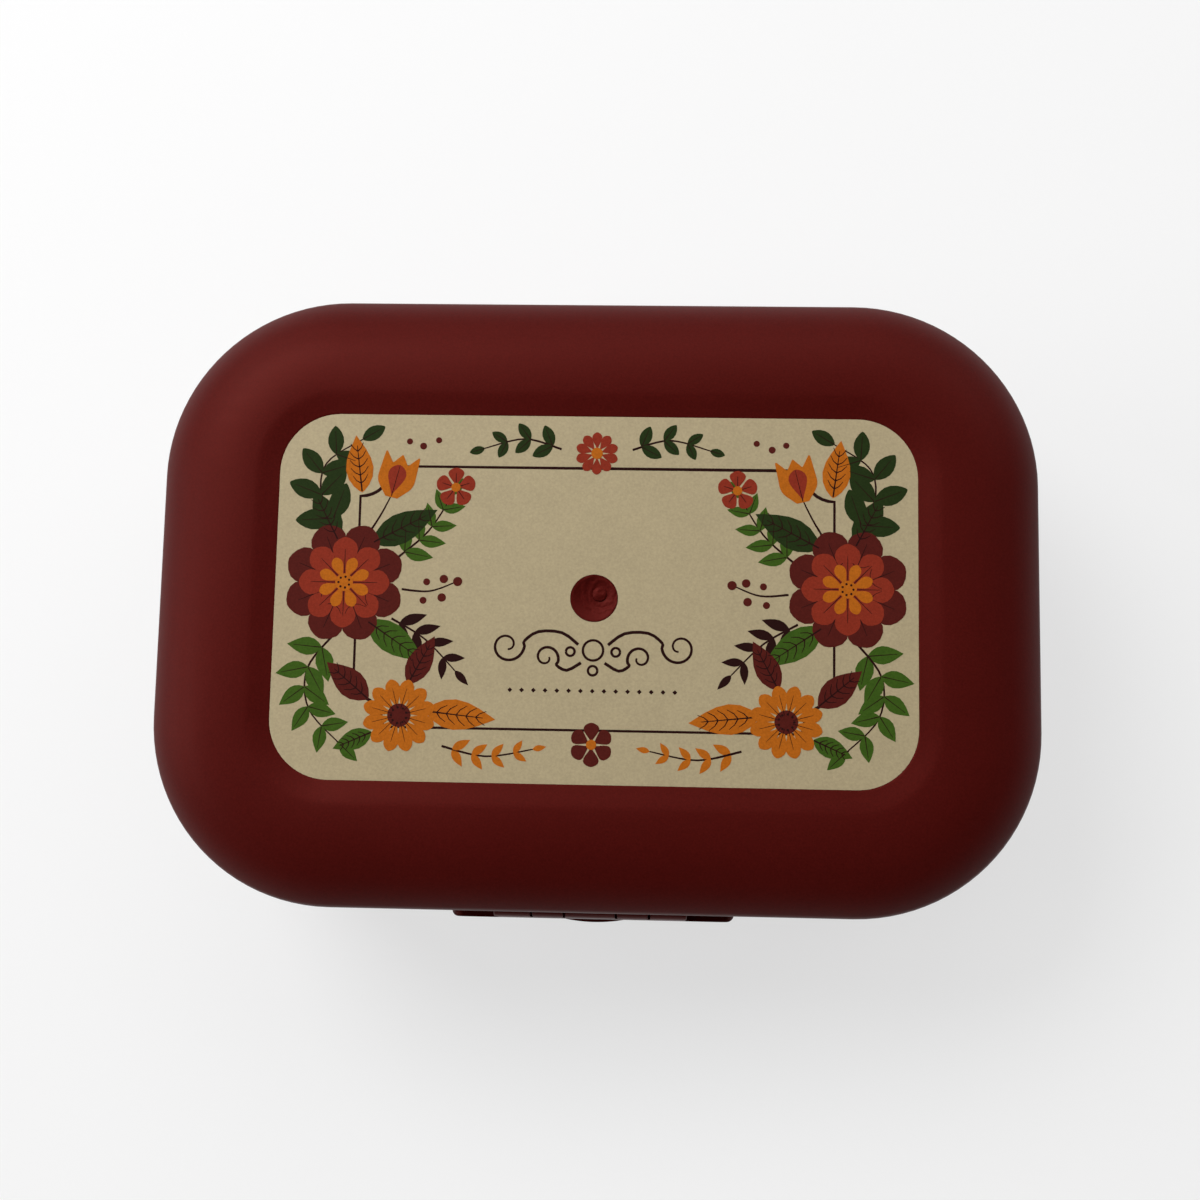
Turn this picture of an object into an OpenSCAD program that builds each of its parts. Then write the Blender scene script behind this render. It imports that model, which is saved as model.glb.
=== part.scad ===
// Travel soap box: a tub with a hinged lid, a front clip and a drain tray.
// The origin is the middle of the flat underside; the clip faces -Y, the hinge +Y.

/* [Box] */
// Width over the rim
box_w = 115; // [100:1:135]
// Depth over the rim, without clip and hinge
box_d = 80; // [70:1:100]
// Height of the tub up to the parting line
tub_h = 27; // [24:0.5:34]
// Height of the lid above the parting line
lid_h = 15; // [14:0.5:22]
// Corner radius in plan
corner_r = 24; // [20:0.5:28]
// Wall thickness of tub and lid
wall = 1.6; // [1.2:0.1:2]
// Chamfer along the rim edges
rim_chamfer = 0.3; // [0.1:0.05:0.5]

/* [Lid top] */
// Rounding between the lid's skirt and its shoulder
edge_r = 2; // [1:0.25:3]
// Width of the rounded shoulder, from the skirt to the crest
shoulder_w = 8.8; // [7:0.1:9.5]
// Radius of the shoulder's curve
shoulder_r = 11; // [10:0.5:16]
// Width of the plastic border round the label
border_w = 16.25; // [14:0.25:20]
// Width of the dished ring between crest and label
dish_w = 3; // [2:0.25:4]
// Depth of the label below the crest
dish_drop = 0.7; // [0.3:0.1:1.2]
// Radius of the dish's curve
dish_r = 11; // [6:0.5:20]

/* [Label] */
// Thickness of the label film
label_t = 0.25; // [0.1:0.05:0.5]
// Hole in the film round the moulding gate
gate_d = 6.1; // [4:0.1:10]
// Flat ring between that hole and the gate's dimple
gate_rim = 0.25; // [0.1:0.05:0.5]
// Depth of the gate's dimple
gate_depth = 0.6; // [0.3:0.05:0.9]
// Diameter of the gate's stub
nub_d = 1.8; // [1:0.1:2.4]
// Height of the gate's stub
nub_h = 0.35; // [0.1:0.05:0.6]
// Place of the stub beside the middle of the dimple
nub_offset = [0.7, 0.6]; // [-1:0.1:1]

/* [Rim and seal] */
// Height of the flange round the tub's mouth
flange_h = 3; // [2.5:0.25:4]
// Height of the tub's lip, which stands inside the lid
lip_h = 2.5; // [2:0.25:3.5]
// Thickness of the lip
lip_t = 1.2; // [0.9:0.1:1.6]
// Gap between the lip and the lid's skirt
lip_gap = 0.3; // [0.2:0.05:0.5]
// Height of the sealing ring
seal_h = 1.5; // [1:0.1:2]
// Overhang of the ring past the lip's inner face
seal_overhang = 0.4; // [0.2:0.1:0.8]
// Play of the ring in its groove
seal_play = 0.1; // [0.05:0.05:0.2]
// Thickness of the rib that keeps the ring in
rib_t = 0.8; // [0.6:0.1:1.2]
// Height of the rib's edge above the lip
rib_clear = 0.5; // [0.3:0.1:0.8]
// Thickness of the shelf that the ring is pressed by
shelf_t = 1.4; // [1:0.1:2]

/* [Tub] */
// Draft angle of the tub's wall
draft = 4; // [2:0.5:6]
// Radius between wall and underside
bottom_r = 6; // [4:0.5:8]
// Diameter of the four posts that carry the tray
post_d = 6; // [4:0.5:8]
// Distance of each post's centre from the tray's edges
post_in = 14; // [12:0.5:18]

/* [Drain tray] */
// Height of the water space under the tray
sump_h = 6.4; // [5:0.2:9]
// Gap between tray and wall
tray_gap = 0.6; // [0.4:0.1:1]
// Gap between the rising tray and the lid's rib
tray_pass = 0.4; // [0.3:0.1:0.6]
// Thickness of the tray's plate
tray_t = 1.6; // [1.2:0.1:2.4]
// Thickness of the tray's rim
tray_rim_t = 1.2; // [0.8:0.1:2]
// Height of the rim above the plate
tray_rim_h = 2; // [1:0.25:3]
// Width of a drain slot
slot_w = 3; // [2:0.25:4]
// Distance from slot to slot
slot_pitch = 9; // [7:0.5:12]
// Plate left solid at the tray's short ends
slot_end = 14; // [12:0.5:20]
// Plate left solid along the tray's long sides
slot_side = 11; // [8:0.5:16]
// Bar left between the two rows of slots
slot_bar = 6; // [4:0.5:10]
// Thickness of the rails that the soap lies on
rail_t = 1.4; // [1:0.1:2]
// Height of the rails above the plate
rail_h = 2.2; // [1:0.1:3]
// Radius of the finger notches
notch_r = 8; // [7:0.5:9]

/* [Hinge] */
// Distance of the hinge axis behind the rim
hinge_out = 0.5; // [0.3:0.1:0.8]
// Outer radius of the hinge eyes
eye_r = 1.9; // [1.7:0.1:2.2]
// Length of each tub eye
tub_eye_l = 4; // [3:0.25:5]
// Length of the lid eye between two tub eyes
lid_eye_l = 7; // [5:0.25:9]
// Gap between the ends of neighbouring eyes
eye_gap = 0.3; // [0.2:0.05:0.5]
// Gap round an eye in the opposite part's pocket
pocket_gap = 0.3; // [0.2:0.05:0.4]
// Slope of the webs that carry the eyes
web_angle = 50; // [40:1:60]
// Depth that a web is sunk into its wall
web_sink = 0.6; // [0.4:0.1:0.9]
// Diameter of the hinge pins
hinge_pin_d = 1.6; // [1.2:0.1:2]
// Radial clearance of a pin in the eye that turns on it
pin_clear = 0.05; // [0.02:0.01:0.08]
// Distance from the end of the hinge to the start of the corner
hinge_margin = 1.5; // [0.5:0.25:4]
// Distance that each pin's end stays inside its eye
pin_recess = 0.2; // [0.1:0.05:0.5]

/* [Clip] */
// Width of the clip's upper part
clip_top_w = 25; // [20:0.5:28]
// Width of the clip's wings
clip_w = 38; // [32:0.5:44]
// Thickness of the clip's plate
clip_t = 1.2; // [1:0.1:1.8]
// Distance of the clip's pivot behind the rim's face
clip_in = 0.5; // [0.3:0.05:0.6]
// Distance of the pivot below the top of the skirt
clip_drop = 3.4; // [3:0.1:4]
// Radius of the clip's barrel
barrel_r = 1.4; // [1.3:0.05:1.6]
// Gap round the barrel in the lid's pocket, and round the ears in the clip
barrel_gap = 0.35; // [0.25:0.05:0.5]
// Diameter of the clip's pin
clip_pin_d = 1.3; // [1:0.1:1.6]
// Distance of each lid ear from the middle
clip_ear_x = 5.5; // [5:0.25:7]
// Width of each lid ear
clip_ear_l = 4; // [3:0.25:5]
// Height of the web behind each ear
clip_web = 1.8; // [1.4:0.1:2.2]
// Plastic left behind the clip's pocket
pad_wall = 1; // [0.8:0.1:1.4]
// Gap between the clip's plate and the rim
clip_gap = 0.3; // [0.2:0.05:0.5]
// Rise of the wings above the parting line
wing_rise = 0.5; // [0:0.25:1.5]
// Corner radius of the wings, seen from the front
wing_r = 2; // [1:0.25:3]
// Corner radius of the wings, seen from above
wing_end_r = 1; // [0.6:0.1:1]
// Width of the hook under the tub's flange
hook_w = 18; // [12:0.5:24]
// Reach of the hook under the flange
hook_reach = 0.7; // [0.4:0.1:0.9]
// Height of the hook's root
hook_h = 2.2; // [1.6:0.1:3]
// Height of the hook's tip
hook_tip = 0.8; // [0.5:0.1:1.2]
// Gap between hook and flange
hook_gap = 0.2; // [0.1:0.05:0.3]
// Length of the clip below the hook
tail_h = 3.6; // [3:0.2:6]
// Width of the thumb lip
thumb_w = 13; // [10:0.5:18]
// Reach of the thumb lip in front of the plate
thumb_out = 1; // [0.6:0.1:2]
// Thickness of the thumb lip
thumb_h = 2; // [1.4:0.1:2.6]

/* [Hidden] */
$fn = 96;
arc_steps = 8;
overlap = 0.2;

burgundy = "#5c1b18";
cream = "#ac9d7c";
ivory = "#d8ceb4";
silicone = "#e6e2da";
steel = "#b9bcc0";

side_x = box_w / 2 - corner_r;
side_y = box_d / 2 - corner_r;

// Heights of the lid, from the parting line up
box_h = tub_h + lid_h;
label_z = box_h - dish_drop;
label_floor = label_z - label_t;
shoulder_angle = asin((shoulder_w - edge_r) / (shoulder_r - edge_r));
shoulder_c = [shoulder_w, box_h - shoulder_r];
edge_c = [edge_r, shoulder_c.y + (shoulder_r - edge_r) * cos(shoulder_angle)];

// Rim, lip and seal, as distances inwards from the outer face
lip_out = wall + lip_gap;
lip_in = lip_out + lip_t;
seal_out = wall + seal_play;
seal_in = lip_in + seal_overhang;
rib_out = seal_in + seal_play;
rib_in = rib_out + rib_t;
seal_z = tub_h + lip_h;
shelf_z = seal_z + seal_h;

// Tub wall: it hangs under the lip and leans in by the draft angle
body_top = tub_h - flange_h;
body_in = lip_in - wall;
wall_run = (body_top - bottom_r * (1 - sin(draft))) / cos(draft);
bottom_c = [body_in + wall_run * sin(draft) + bottom_r * cos(draft), bottom_r];

tray_z = wall + sump_h;
tray_in = max(lip_in + (body_top - tray_z) * tan(draft) + tray_gap, rib_in + tray_pass);
tray_w = box_w - 2 * tray_in;
tray_d = box_d - 2 * tray_in;
tray_r = corner_r - tray_in;
slot_l = tray_d / 2 - slot_side - slot_bar / 2;
slots = floor((tray_w - 2 * slot_end) / slot_pitch);

hinge_l = 2 * tub_eye_l + lid_eye_l + 2 * eye_gap;
hinge_x = side_x - hinge_margin - hinge_l / 2;
hinge_y = box_d / 2 + hinge_out;
tub_eye_x = (lid_eye_l + tub_eye_l) / 2 + eye_gap;

clip_y = clip_in - box_d / 2;
clip_z = edge_c.y - clip_drop;
plate_back = -box_d / 2 - clip_gap;
plate_front = plate_back - clip_t;
hook_z = body_top - hook_gap;
clip_bottom = hook_z - hook_h - tail_h;
wing_top = tub_h + wing_rise;

function arc(c, r, from, to) =
    [for (i = [0:arc_steps]) let (a = from + (to - from) * i / arc_steps) c + r * [cos(a), sin(a)]];

// Points from p to q on a circle of radius r, with its centre to the left of that way
function bow(p, q, r) =
    let (d = q - p, l = norm(d), c = (p + q) / 2 + sqrt(r * r - l * l / 4) * [-d.y, d.x] / l)
    arc(c, r, atan2(p.y - c.y, p.x - c.x), atan2(q.y - c.y, q.x - c.x));

// Turns a profile whose x runs inwards from the outer face into one measured from the corner's axis
module from_face() intersection() {
    translate([corner_r, 0]) mirror([1, 0]) children();
    square([corner_r, box_h]);
}

// Sweeps a profile once round the box: x is the distance inwards from the outer face, y the height
module around() {
    for (turn = [0, 180]) rotate(turn) {
        translate([side_x, side_y, 0]) rotate([90, 0, 0]) linear_extrude(2 * side_y) from_face() children();
        rotate(90) translate([side_y, side_x, 0]) rotate([90, 0, 0])
            linear_extrude(2 * side_x) from_face() children();
        translate([side_x, side_y, 0]) rotate_extrude(angle = 90) from_face() children();
        translate([-side_x, side_y, 0]) rotate(90) rotate_extrude(angle = 90) from_face() children();
    }
}

// Fills the middle that a swept profile leaves open between the corner centres
module middle(z, h) translate([-side_x, -side_y, z]) cube([2 * side_x, 2 * side_y, h]);

module soft_rect(w, d, r) {
    square([w - 2 * r, d], center = true);
    square([w, d - 2 * r], center = true);
    for (x = [-1, 1], y = [-1, 1]) translate([x * (w / 2 - r), y * (d / 2 - r)]) circle(r);
}

// A round bar or bore along X
module rod(r, l) rotate([0, 90, 0]) cylinder(r = r, h = l, center = true);

// Extrudes a profile drawn in Y and Z along X
module along_x(l) rotate([90, 0, 90]) translate([0, 0, -l / 2]) linear_extrude(l) children();

module pin(d, l) {
    tip = d / 8;
    rotate([0, 90, 0]) rotate_extrude()
        polygon([[0, -l / 2], [d / 2 - tip, -l / 2], [d / 2, tip - l / 2],
                 [d / 2, l / 2 - tip], [d / 2 - tip, l / 2], [0, l / 2]]);
}

// A hinge eye with its web: up is 1 for the lid's and -1 for the tub's, root is the web's depth
module hinge_eye(l, up, root) {
    touch = eye_r * [cos(web_angle), up * sin(web_angle)];
    drop = up * (root + touch.x) / tan(web_angle);
    along_x(l) {
        circle(eye_r);
        polygon([[0, 0], touch, [-root, touch.y + drop], [-root, 0]]);
    }
}

module at_hinges() for (side = [-1, 1]) translate([side * hinge_x, hinge_y, tub_h]) children();

module tub_profile() polygon(concat(
    [[rim_chamfer, tub_h], [0, tub_h - rim_chamfer], [0, body_top + rim_chamfer],
     [rim_chamfer, body_top], [body_in, body_top]],
    arc(bottom_c, bottom_r, 180 + draft, 270),
    [[corner_r, 0], [corner_r, wall]],
    arc(bottom_c, bottom_r - wall, 270, 180 + draft),
    [[lip_in, body_top], [lip_in, seal_z], [lip_out + rim_chamfer, seal_z],
     [lip_out, seal_z - rim_chamfer], [lip_out, tub_h]]));

module tray_posts() for (x = [-1, 1], y = [-1, 1])
    translate([x * (tray_w / 2 - post_in), y * (tray_d / 2 - post_in), wall / 2])
        cylinder(d = post_d, h = tray_z - wall / 2);

module base_tub() color(burgundy) difference() {
    union() {
        difference() {
            around() tub_profile();
            at_hinges() rod(eye_r + pocket_gap, lid_eye_l + 2 * eye_gap);
        }
        middle(0, wall);
        tray_posts();
        at_hinges() for (x = [-1, 1]) translate([x * tub_eye_x, 0, 0])
            hinge_eye(tub_eye_l, -1, hinge_out + body_in + web_sink);
    }
    at_hinges() rod(hinge_pin_d / 2, hinge_l + overlap);
}

module lid_profile() {
    inner_r = shoulder_r - wall;
    inner_angle = acos((wall - shoulder_w) / inner_r);
    polygon(concat(
        [[0, tub_h + rim_chamfer]],
        arc(edge_c, edge_r, 180, 90 + shoulder_angle),
        arc(shoulder_c, shoulder_r, 90 + shoulder_angle, 90),
        bow([border_w - dish_w, box_h], [border_w, label_z], dish_r),
        [[border_w, label_floor], [corner_r, label_floor], [corner_r, label_floor - wall],
         [border_w, label_floor - wall], [border_w - dish_w, box_h - wall]],
        arc(shoulder_c, inner_r, 90, inner_angle),
        [[wall, tub_h], [rim_chamfer, tub_h]]));
    translate([wall - overlap, shelf_z]) square([rib_in - wall + overlap, shelf_t]);
    translate([rib_out, seal_z + rib_clear]) square([rib_t, seal_h - rib_clear + overlap]);
}

module gate_boss() translate([0, 0, label_floor - overlap]) cylinder(d = gate_d, h = label_t + overlap);

module gate_dimple() {
    rim = gate_d / 2 - gate_rim;
    r = (rim * rim + gate_depth * gate_depth) / (2 * gate_depth);
    translate([0, 0, label_z - gate_depth + r]) sphere(r);
}

module gate_nub() translate([nub_offset.x, nub_offset.y, label_z - gate_depth - overlap])
    cylinder(d = nub_d, h = nub_h + overlap);

// Thickens the skirt behind the clip, where the pocket for its barrel is cut
module clip_pad() {
    w = clip_top_w + 2 * (barrel_gap + pad_wall);
    pad_in = clip_in + barrel_r + barrel_gap + pad_wall;
    translate([-w / 2, wall - overlap - box_d / 2, shelf_z + overlap])
        cube([w, pad_in - wall + overlap, edge_c.y - shelf_z - overlap]);
}

module clip_ear() along_x(clip_ear_l) {
    circle(barrel_r);
    translate([0, -clip_web / 2]) square([barrel_r + barrel_gap + pad_wall / 2, clip_web]);
}

module at_clip() translate([0, clip_y, clip_z]) children();

module at_clip_ears() at_clip() for (x = [-1, 1]) translate([x * clip_ear_x, 0, 0]) children();

module lid_shell() color(burgundy) difference() {
    union() {
        difference() {
            union() {
                around() lid_profile();
                middle(label_floor - wall, wall);
                gate_boss();
                clip_pad();
            }
            gate_dimple();
            at_clip() rod(barrel_r + barrel_gap, clip_top_w + 2 * barrel_gap);
            at_hinges() for (x = [-1, 1]) translate([x * tub_eye_x, 0, 0])
                rod(eye_r + pocket_gap, tub_eye_l + 2 * eye_gap);
        }
        gate_nub();
        at_clip_ears() clip_ear();
        at_hinges() hinge_eye(lid_eye_l, 1, hinge_out + web_sink);
    }
    at_clip_ears() rod(clip_pin_d / 2, clip_ear_l + overlap);
    at_hinges() rod(hinge_pin_d / 2 + pin_clear, lid_eye_l + overlap);
}

module lid_label() color(cream) translate([0, 0, label_floor]) linear_extrude(label_t) difference() {
    soft_rect(box_w - 2 * border_w, box_d - 2 * border_w, corner_r - border_w);
    circle(d = gate_d);
}

module lid_seal() color(silicone) around()
    translate([seal_out, seal_z]) square([seal_in - seal_out, seal_h]);

module clip_hook() translate([0, plate_back, hook_z]) along_x(hook_w)
    polygon([[-overlap, 0], [clip_gap + hook_reach, 0], [clip_gap + hook_reach, -hook_tip],
             [0, -hook_h], [-overlap, -hook_h]]);

module clip_wings() intersection() {
    h = wing_top - clip_bottom;
    t = plate_back - plate_front;
    translate([0, plate_back, clip_bottom + h / 2]) rotate([90, 0, 0]) linear_extrude(t)
        soft_rect(clip_w, h, wing_r);
    translate([0, plate_front + t, clip_bottom]) linear_extrude(h)
        soft_rect(clip_w, 2 * t, wing_end_r);
}

// A crescent in plan, so that the thumb finds it in the middle of the clip
module thumb_lip() {
    r = (thumb_w * thumb_w / 4 + thumb_out * thumb_out) / (2 * thumb_out);
    intersection() {
        translate([0, plate_front - thumb_out + r, clip_bottom]) cylinder(r = r, h = thumb_h);
        translate([-thumb_w, plate_front - 2 * thumb_out, clip_bottom])
            cube([2 * thumb_w, 2 * thumb_out + overlap, thumb_h]);
    }
}

// Barrel and plate; the plate leans out from the barrel down to the top of the wings
module clip_profile() {
    back = plate_back - clip_y;
    front = plate_front - clip_y;
    foot = clip_bottom + wing_r - clip_z;
    circle(barrel_r);
    polygon([[-barrel_r, 0], [front, wing_top - clip_z], [front, foot], [back, foot], [back, 0]]);
}

module front_latch() color(burgundy) difference() {
    union() {
        at_clip() along_x(clip_top_w) clip_profile();
        clip_wings();
        clip_hook();
        thumb_lip();
    }
    at_clip_ears() rod(barrel_r + barrel_gap, clip_ear_l + 2 * eye_gap);
    at_clip() rod(clip_pin_d / 2 + pin_clear, clip_top_w + overlap);
}

module latch_pin() color(steel) at_clip() pin(clip_pin_d, clip_top_w - 2 * pin_recess);

module hinge_pin(side) color(steel) translate([side * hinge_x, hinge_y, tub_h])
    pin(hinge_pin_d, hinge_l - 2 * pin_recess);

module hinge_pin_left() hinge_pin(-1);

module hinge_pin_right() hinge_pin(1);

module tray_slots() for (i = [0:slots - 1], y = [-1, 1])
    translate([(i - (slots - 1) / 2) * slot_pitch, y * (slot_bar + slot_l) / 2]) {
        square([slot_w, slot_l - slot_w], center = true);
        for (end = [-1, 1]) translate([0, end * (slot_l - slot_w) / 2]) circle(d = slot_w);
    }

module tray_rails() for (i = [0:slots]) translate([(i - slots / 2) * slot_pitch, 0])
    square([rail_t, tray_d - 2 * slot_side], center = true);

module finger_notches() for (x = [-1, 1]) translate([x * tray_w / 2, 0]) circle(notch_r);

module drain_tray() color(ivory) translate([0, 0, tray_z]) {
    linear_extrude(tray_t) difference() {
        soft_rect(tray_w, tray_d, tray_r);
        tray_slots();
        finger_notches();
    }
    translate([0, 0, tray_t]) linear_extrude(tray_rim_h) difference() {
        soft_rect(tray_w, tray_d, tray_r);
        soft_rect(tray_w - 2 * tray_rim_t, tray_d - 2 * tray_rim_t, tray_r - tray_rim_t);
        finger_notches();
    }
    translate([0, 0, tray_t]) linear_extrude(rail_h) tray_rails();
}

base_tub();
lid_shell();
lid_label();
lid_seal();
front_latch();
latch_pin();
hinge_pin_left();
hinge_pin_right();
drain_tray();
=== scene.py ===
from math import acos, asin, atan2, cos, degrees, pi, radians, sin, sqrt, tan

import bmesh
import bpy
from mathutils import Matrix, Vector


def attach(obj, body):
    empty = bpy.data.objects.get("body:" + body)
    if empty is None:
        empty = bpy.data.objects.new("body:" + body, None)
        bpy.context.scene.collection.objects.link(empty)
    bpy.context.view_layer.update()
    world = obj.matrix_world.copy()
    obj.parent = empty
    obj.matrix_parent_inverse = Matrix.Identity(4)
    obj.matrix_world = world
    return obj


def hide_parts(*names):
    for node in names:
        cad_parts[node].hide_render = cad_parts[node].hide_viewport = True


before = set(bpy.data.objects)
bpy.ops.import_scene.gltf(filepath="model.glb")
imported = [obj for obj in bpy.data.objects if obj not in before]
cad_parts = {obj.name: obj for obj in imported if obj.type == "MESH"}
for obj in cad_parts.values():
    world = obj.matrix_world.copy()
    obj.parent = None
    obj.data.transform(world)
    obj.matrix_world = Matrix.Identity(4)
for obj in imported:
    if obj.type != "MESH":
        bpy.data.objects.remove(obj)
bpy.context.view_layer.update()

print("stage: packed frame loaded")

# Everything below is worked out in millimetres and scaled to metres when a piece is finished.
mm = 0.001
snug, past = 0.002, 0.4  # a tight bore's room round its pin, and how much longer a bore is than its piece

# What lid and tub share
box = {"width": 115, "depth": 80, "tubHeight": 27, "height": 42, "cornerRadius": 24,
       "wall": 1.6, "rimEdge": 0.3, "cornerSteps": 24}
box["sideX"] = box["width"] / 2 - box["cornerRadius"]
box["sideY"] = box["depth"] / 2 - box["cornerRadius"]


# A node's output that can stand in a Python sum
class Wire:
    def __init__(self, tree, socket):
        self.tree, self.socket = tree, socket

    def math(self, operation, *values):
        return addNode(self.tree, "ShaderNodeMath", {"operation": operation}, list(values))

    def __add__(self, other): return self.math("ADD", self, other)
    def __radd__(self, other): return self.math("ADD", other, self)
    def __sub__(self, other): return self.math("SUBTRACT", self, other)
    def __rsub__(self, other): return self.math("SUBTRACT", other, self)
    def __mul__(self, other): return self.math("MULTIPLY", self, other)
    def __rmul__(self, other): return self.math("MULTIPLY", other, self)
    def __truediv__(self, other): return self.math("DIVIDE", self, other)
    def __mod__(self, other): return self.math("MODULO", self, other)
    def __lt__(self, other): return self.math("LESS_THAN", self, other)
    def floor(self): return self.math("FLOOR", self)
    def cos(self): return self.math("COSINE", self)
    def sin(self): return self.math("SINE", self)
    def sign(self): return self.math("SIGN", self)


def pick(sockets, key):
    if isinstance(key, int):
        return [s for s in sockets if s.enabled][key]
    return next(s for s in sockets if s.enabled and key in (s.identifier, s.name))


# The one way in for every other node: settings first, then values or links
def addNode(tree, kind, settings=None, values=None, out=0):
    node = tree.nodes.new(kind)
    for key, value in (settings or {}).items():
        setattr(node, key, value)
    pairs = values.items() if isinstance(values, dict) else enumerate(values or [])
    for key, value in pairs:
        for one in value if isinstance(value, list) else [value]:
            if isinstance(one, Wire):
                tree.links.new(one.socket, pick(node.inputs, key))
            else:
                pick(node.inputs, key).default_value = one
    if not node.outputs:
        return node
    return Wire(tree, pick(node.outputs, out))


# Geometry Nodes trees

def geometryTree(name, *inputs):
    tree = bpy.data.node_groups.new(name, "GeometryNodeTree")
    tree.interface.new_socket("Geometry", in_out="INPUT", socket_type="NodeSocketGeometry")
    tree.interface.new_socket("Geometry", in_out="OUTPUT", socket_type="NodeSocketGeometry")
    for label, kind in inputs + (("Material", "Material"),):
        tree.interface.new_socket(label, in_out="INPUT", socket_type="NodeSocket" + kind)
    source = tree.nodes.new("NodeGroupInput")
    return tree, {s.name: Wire(tree, s) for s in source.outputs if s.name}


def closeTree(tree, geometry, inputs):
    real = addNode(tree, "GeometryNodeRealizeInstances", None, [geometry])
    painted = addNode(tree, "GeometryNodeSetMaterial", None,
                      {"Geometry": real, "Material": inputs["Material"]})
    addNode(tree, "NodeGroupOutput", None, [painted])
    return tree


# Row and column of each element, with so many to a row
def rowAndColumn(tree, count):
    index = addNode(tree, "GeometryNodeInputIndex")
    row = ((index + 0.5) / count).floor()
    return row, index - row * count


def merged(tree, geometry):
    return addNode(tree, "GeometryNodeMergeByDistance", None, {"Geometry": geometry, "Distance": 0.0001})


def xyz(tree, x, y, z):
    return addNode(tree, "ShaderNodeCombineXYZ", None, [x, y, z])


def onPoints(tree, count, place, instance):
    points = addNode(tree, "GeometryNodePoints", None, {"Count": count, "Position": place})
    return addNode(tree, "GeometryNodeInstanceOnPoints", None, {"Points": points, "Instance": instance})


# A flat face made a closed plate
def thickened(tree, face, height):
    raised = addNode(tree, "GeometryNodeExtrudeMesh", {"mode": "FACES"},
                     {"Mesh": face, "Offset Scale": height, "Individual": False, "Offset": (0.0, 0.0, 1.0)})
    under = addNode(tree, "GeometryNodeFlipFaces", None, [face])
    return merged(tree, addNode(tree, "GeometryNodeJoinGeometry", None, {"Geometry": [raised, under]}))


# Rings of a profile round a soft rectangle: x of the input's points is the way inwards, z the height
def sweepTree():
    tree, given = geometryTree("sweepRound", ("Side X", "Float"), ("Side Y", "Float"),
                               ("Corner Radius", "Float"), ("Corner Steps", "Int"))
    profile, steps = given["Geometry"], given["Corner Steps"]
    count = addNode(tree, "GeometryNodeAttributeDomainSize", {"component": "MESH"}, [profile])
    rings = (steps + 1) * 4
    grid = addNode(tree, "GeometryNodeMeshGrid", None, {"Vertices X": count, "Vertices Y": rings + 1})
    row, column = rowAndColumn(tree, rings + 1)
    ring = column % rings
    point = addNode(tree, "GeometryNodeSampleIndex", {"data_type": "FLOAT_VECTOR", "domain": "POINT"},
                    {"Geometry": profile, "Value": addNode(tree, "GeometryNodeInputPosition"), "Index": row})
    split = addNode(tree, "ShaderNodeSeparateXYZ", None, [point])
    inward, height = split, Wire(tree, split.socket.node.outputs["Z"])
    quarter = ((ring + 0.5) / (steps + 1)).floor()
    turn = (quarter + (ring - quarter * (steps + 1)) / steps) * (pi / 2)
    middle = (quarter + 0.5) * (pi / 2)
    reach = given["Corner Radius"] - inward
    place = xyz(tree, middle.cos().sign() * given["Side X"] + reach * turn.cos(),
                middle.sin().sign() * given["Side Y"] + reach * turn.sin(), height)
    swept = addNode(tree, "GeometryNodeSetPosition", None, {"Geometry": grid, "Position": place})
    return closeTree(tree, merged(tree, swept), given)


# Copies of the input on a flat grid round the middle
def copiesTree():
    tree, given = geometryTree("gridOfCopies", ("Count X", "Int"), ("Count Y", "Int"),
                               ("Step X", "Float"), ("Step Y", "Float"))
    countX, countY = given["Count X"], given["Count Y"]
    row, column = rowAndColumn(tree, countX)
    place = xyz(tree, (column - (countX - 1) / 2) * given["Step X"],
                (row - (countY - 1) / 2) * given["Step Y"], 0.0)
    return closeTree(tree, onPoints(tree, countX * countY, place, given["Geometry"]), given)


# A flat outline made a plate, with rows of round-ended slots
def plateTree():
    tree, given = geometryTree("slottedPlate", ("Thickness", "Float"), ("Slot Width", "Float"),
                               ("Slot Length", "Float"), ("Slots", "Int"), ("Pitch", "Float"),
                               ("Row Step", "Float"))
    outline = addNode(tree, "GeometryNodeMeshToCurve", None, {"Mesh": given["Geometry"]})
    slot = addNode(tree, "GeometryNodeCurvePrimitiveQuadrilateral", {"mode": "RECTANGLE"},
                   {"Width": given["Slot Width"], "Height": given["Slot Length"]})
    soft = addNode(tree, "GeometryNodeFilletCurve", {"mode": "POLY"},
                   {"Curve": slot, "Count": 6, "Radius": given["Slot Width"] / 2, "Limit Radius": True})
    count = given["Slots"]
    row, column = rowAndColumn(tree, count)
    place = xyz(tree, (column - (count - 1) / 2) * given["Pitch"], (row - 0.5) * given["Row Step"], 0.0)
    slots = onPoints(tree, count * 2, place, soft)
    curves = addNode(tree, "GeometryNodeJoinGeometry", None, {"Geometry": [outline, slots]})
    loose = addNode(tree, "GeometryNodeRealizeInstances", None, [curves])
    face = addNode(tree, "GeometryNodeFillCurve", {"mode": "NGONS"}, {"Curve": loose})
    return closeTree(tree, thickened(tree, face, given["Thickness"]), given)


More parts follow.
